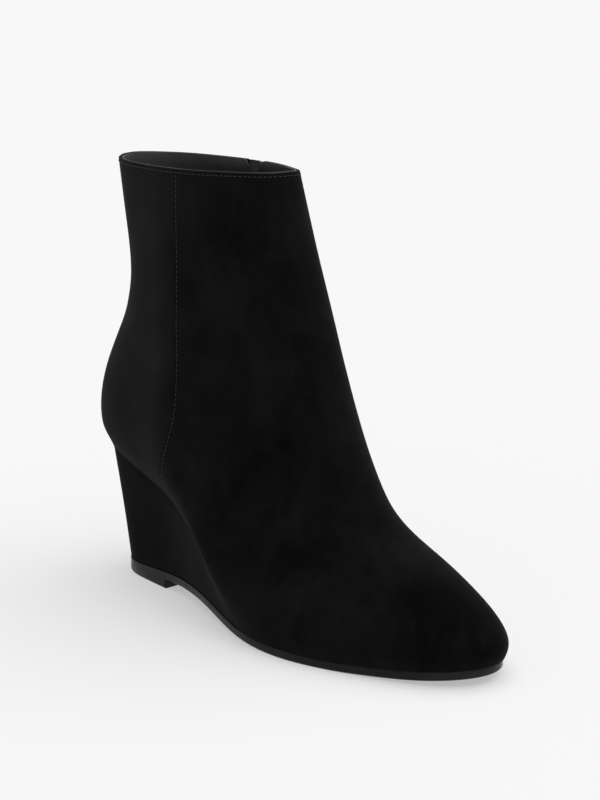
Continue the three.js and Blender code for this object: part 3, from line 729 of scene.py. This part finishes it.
# Two rows along each side of the zip.
zip_low, zip_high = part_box("zip_teeth")
ZIP_ROW_OFFSETS = (5.2 * MM, 7.6 * MM)
ZIP_ROW_STEPS = 40


def zip_x(z):
    """Where the zip's middle lies along X at a height."""
    return ZIP_FOOT_X + (ZIP_TOP_X - ZIP_FOOT_X) * (z - zip_low.z) / (zip_high.z - zip_low.z)


for offset in (o * way for o in ZIP_ROW_OFFSETS for way in (-1, 1)):
    rays = []
    for i in range(ZIP_ROW_STEPS + 1):
        z = zip_low.z + (zip_high.z - zip_low.z - COLLAR_ROW_DROP) * i / ZIP_ROW_STEPS
        rays.append((Vector((zip_x(z) + offset, FAR, z)), Vector((0, -1, 0))))
    add_stitches(stitches, path_over(upper_surface, rays))
stitching = finish_piece(stitches, "stitching")
stitching.data.materials.append(thread)


# Back tab. A strip of the same suede that covers the back seam's upper end. It lies close on the shaft, and
# a row of stitches runs down both its sides and across its foot.
TAB_EDGE_ROUND = 0.42 * MM
TAB_SETTLES = 0.45 * MM
tab = merged_copy("back_tab")
join_flat(tab, 30)
for vert in tab.verts:
    _, normal, _, _ = upper_surface.find_nearest(vert.co)
    vert.co -= normal * TAB_SETTLES
round_edges(tab, 50, TAB_EDGE_ROUND)
tab_surface = BVHTree.FromBMesh(tab)
back_tab = finish_piece(tab, "back_tab_suede", node="back_tab")
back_tab.data.materials.append(upper_suede)
tab_low, tab_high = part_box("back_tab")
TAB_ROW_STEPS = 20
ROW_SIDE = tab_high.y - 1.8 * MM
ROW_FOOT = tab_low.z + 2.7 * MM
ROW_TOP = tab_high.z - 1.8 * MM
sides = [[(way * ROW_SIDE, ROW_FOOT), (way * ROW_SIDE, ROW_TOP)] for way in (-1, 1)]
foot = [(-ROW_SIDE, ROW_FOOT), (ROW_SIDE, ROW_FOOT)]
tab_stitches = bmesh.new()
for (y0, z0), (y1, z1) in (*sides, foot):
    rays = []
    for i in range(TAB_ROW_STEPS + 1):
        share = i / TAB_ROW_STEPS
        rays.append((Vector((-FAR, y0 + (y1 - y0) * share, z0 + (z1 - z0) * share)), Vector((1, 0, 0))))
    add_stitches(tab_stitches, path_over(tab_surface, rays))
tab_row = finish_piece(tab_stitches, "back_tab_stitching")
tab_row.data.materials.append(thread)


# Zip. A woven tape sewn behind the slot, a closed nylon coil along its middle, and a plated slider at the
# collar whose pull tab swings on a bar under the slider's crown.
woven, tree, shader = new_material("woven tape")
where = tree.nodes.new("ShaderNodeTexCoord").outputs["Object"]
ribs = tree.nodes.new("ShaderNodeTexWave")
ribs.bands_direction = "Z"
ribs.inputs["Scale"].default_value = 420
ribs.inputs["Distortion"].default_value = 1.5
tree.links.new(where, ribs.inputs["Vector"])
tone = ramp_node(tree, ribs.outputs["Fac"], [(0.2, (0.006, 0.006, 0.007)), (0.8, (0.018, 0.018, 0.020))])
tree.links.new(tone.outputs["Color"], shader.inputs["Base Color"])
tree.links.new(bump_node(tree, ribs.outputs["Fac"], 0.1 * MM), shader.inputs["Normal"])
shader.inputs["Roughness"].default_value = 0.85
TAPE_WIDER = 1.2  # its edges are held in the wall's slit
TAPE_LONGER = 1.008
tape_mesh = merged_copy("zip_tape")
for vert in tape_mesh.verts:
    middle = zip_x(vert.co.z)
    vert.co.x = middle + (vert.co.x - middle) * TAPE_WIDER
    vert.co.z = zip_high.z + (vert.co.z - zip_high.z) * TAPE_LONGER
join_flat(tape_mesh, 30)
tape = finish_piece(tape_mesh, "zip_tape_woven", node="zip_tape")
tape.data.materials.append(woven)

gold, tree, shader = new_material("pale gold plating")
where = tree.nodes.new("ShaderNodeTexCoord").outputs["Object"]
handled = noise_node(tree, where, 500, detail=4)
tone = ramp_node(tree, handled.outputs["Fac"], [(0.3, (0.74, 0.53, 0.27)), (0.7, (0.90, 0.70, 0.42))])
tree.links.new(tone.outputs["Color"], shader.inputs["Base Color"])
gloss = ramp_node(tree, handled.outputs["Fac"], [(0.3, 0.16), (0.7, 0.32)])
tree.links.new(gloss.outputs["Color"], shader.inputs["Roughness"])
shader.inputs["Metallic"].default_value = 1.0

nylon, tree, shader = new_material("black nylon")
where = tree.nodes.new("ShaderNodeTexCoord").outputs["Object"]
tone = ramp_node(tree, noise_node(tree, where, 900, detail=2).outputs["Fac"],
                 [(0.3, (0.006, 0.006, 0.0066)), (0.7, (0.014, 0.014, 0.0150))])
tree.links.new(tone.outputs["Color"], shader.inputs["Base Color"])
shader.inputs["Roughness"].default_value = 0.42

COIL_PITCH = 1.5 * MM  # of one side's turns; the other side's lie half a pitch further on
COIL_TURN = Vector((0.72, 2.7, 1.1)) * MM  # along, across and out
COIL_OFFSET = 0.75 * MM
COIL_STEPS = 60
COIL_FOOT = zip_low.z + 0.4 * MM
COIL_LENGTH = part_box("zip_slider")[0].z + 2 * MM - zip_low.z  # it runs on into the slider
coil_surface = surface_of("zip_teeth")
rays = []
for i in range(COIL_STEPS + 1):
    z = COIL_FOOT + COIL_LENGTH * i / COIL_STEPS
    rays.append((Vector((zip_x(z), FAR, z)), Vector((0, -1, 0))))
turns = []
for i, (point, normal, direction) in enumerate(evenly(path_over(coil_surface, rays), COIL_PITCH / 2)):
    side = 1 if i % 2 else -1
    sunk = point - normal * COIL_TURN.z / 2
    turns.append(facing(sunk, normal, direction) @ Matrix.Translation((0, side * COIL_OFFSET, 0)))
coil = bmesh.new()
add_ovals(coil, COIL_TURN, turns)
zip_coil = finish_piece(coil, "zip_coil_nylon", node="zip_teeth")
zip_coil.data.materials.append(nylon)

METAL_EDGE_ROUND = 0.22 * MM
FLAT_WITHIN = math.radians(3)
for node, name, body in (("zip_slider", "zip_slider_cast", "boot"), ("zip_pull", "zip_pull_tab", "pull")):
    metal = merged_copy(node)
    bmesh.ops.dissolve_limit(metal, angle_limit=FLAT_WITHIN, verts=metal.verts[:], edges=metal.edges[:])
    round_edges(metal, 40, METAL_EDGE_ROUND)
    piece = finish_piece(metal, name, body=body, node=node)
    piece.modifiers.new("even shading", "WEIGHTED_NORMAL")
    piece.data.materials.append(gold)


# Camera. It looks at the outer side from ahead and a little above, as a catalogue picture does, and the
# whole boot fills the picture's height.
VIEW_AZIMUTH = math.radians(47.5)
VIEW_ELEVATION = math.radians(14.3)
VIEW_DISTANCE = 916.75 * MM
VIEW_TARGET = Vector((90.95 * MM, 0, 100.4 * MM))
level = Vector((math.sin(VIEW_AZIMUTH), -math.cos(VIEW_AZIMUTH), 0))
back = level * math.cos(VIEW_ELEVATION) + UP * math.sin(VIEW_ELEVATION)
camera_data = bpy.data.cameras.new("camera")
camera_data.sensor_fit = "VERTICAL"
camera_data.sensor_height = 36
camera_data.lens = 94.6
camera = bpy.data.objects.new("camera", camera_data)
camera.location = VIEW_TARGET + back * VIEW_DISTANCE
camera.rotation_euler = back.to_track_quat("Z", "Y").to_euler()
bpy.context.scene.collection.objects.link(camera)
bpy.context.scene.camera = camera

# Floor and light. A wide white floor under a soft even sky, whose lowest band is as white as the floor, and
# one large soft light from overhead.
FLOOR_RADIUS = 7.0
FLOOR_GLOW = 0.43  # keeps the floor nearly white under the shadow, too
floor_mesh = bmesh.new()
bmesh.ops.create_circle(floor_mesh, cap_ends=True, segments=64, radius=FLOOR_RADIUS)
floor_data = bpy.data.meshes.new("floor")
floor_mesh.to_mesh(floor_data)
floor_mesh.free()
floor = bpy.data.objects.new("floor", floor_data)
bpy.context.scene.collection.objects.link(floor)
floor_white, tree, shader = new_material("white floor")
shader.inputs["Base Color"].default_value = (0.49, 0.49, 0.49, 1)
shader.inputs["Emission Color"].default_value = (1, 1, 1, 1)
shader.inputs["Emission Strength"].default_value = FLOOR_GLOW
shader.inputs["Roughness"].default_value = 0.9
shader.inputs["Specular IOR Level"].default_value = 0.1
floor_data.materials.append(floor_white)

BAND_TOP, SKY_FROM = 0.05, 0.16  # heights as sines: the white band's top, and where the plain sky begins
BAND_BRIGHT, SKY_BRIGHT = 0.93, 0.38
world = bpy.data.worlds.new("even sky")
world.use_nodes = True
tree = world.node_tree
sky = tree.nodes["Background"]
sky.inputs["Color"].default_value = (1, 1, 1, 1)
rise = axis_of(tree, tree.nodes.new("ShaderNodeTexCoord").outputs["Generated"], "Z")
band = range_node(tree, rise, BAND_TOP, SKY_FROM, BAND_BRIGHT, SKY_BRIGHT)
tree.links.new(band, sky.inputs["Strength"])
bpy.context.scene.world = world
bpy.context.scene.view_settings.view_transform = "Standard"
sun_data = bpy.data.lights.new("soft key", "SUN")
sun_data.energy = 2.1
sun_data.angle = math.radians(80)
sun = bpy.data.objects.new("soft key", sun_data)
sun.rotation_euler = Vector((0.15, 0.20, 1.0)).to_track_quat("Z", "Y").to_euler()
bpy.context.scene.collection.objects.link(sun)
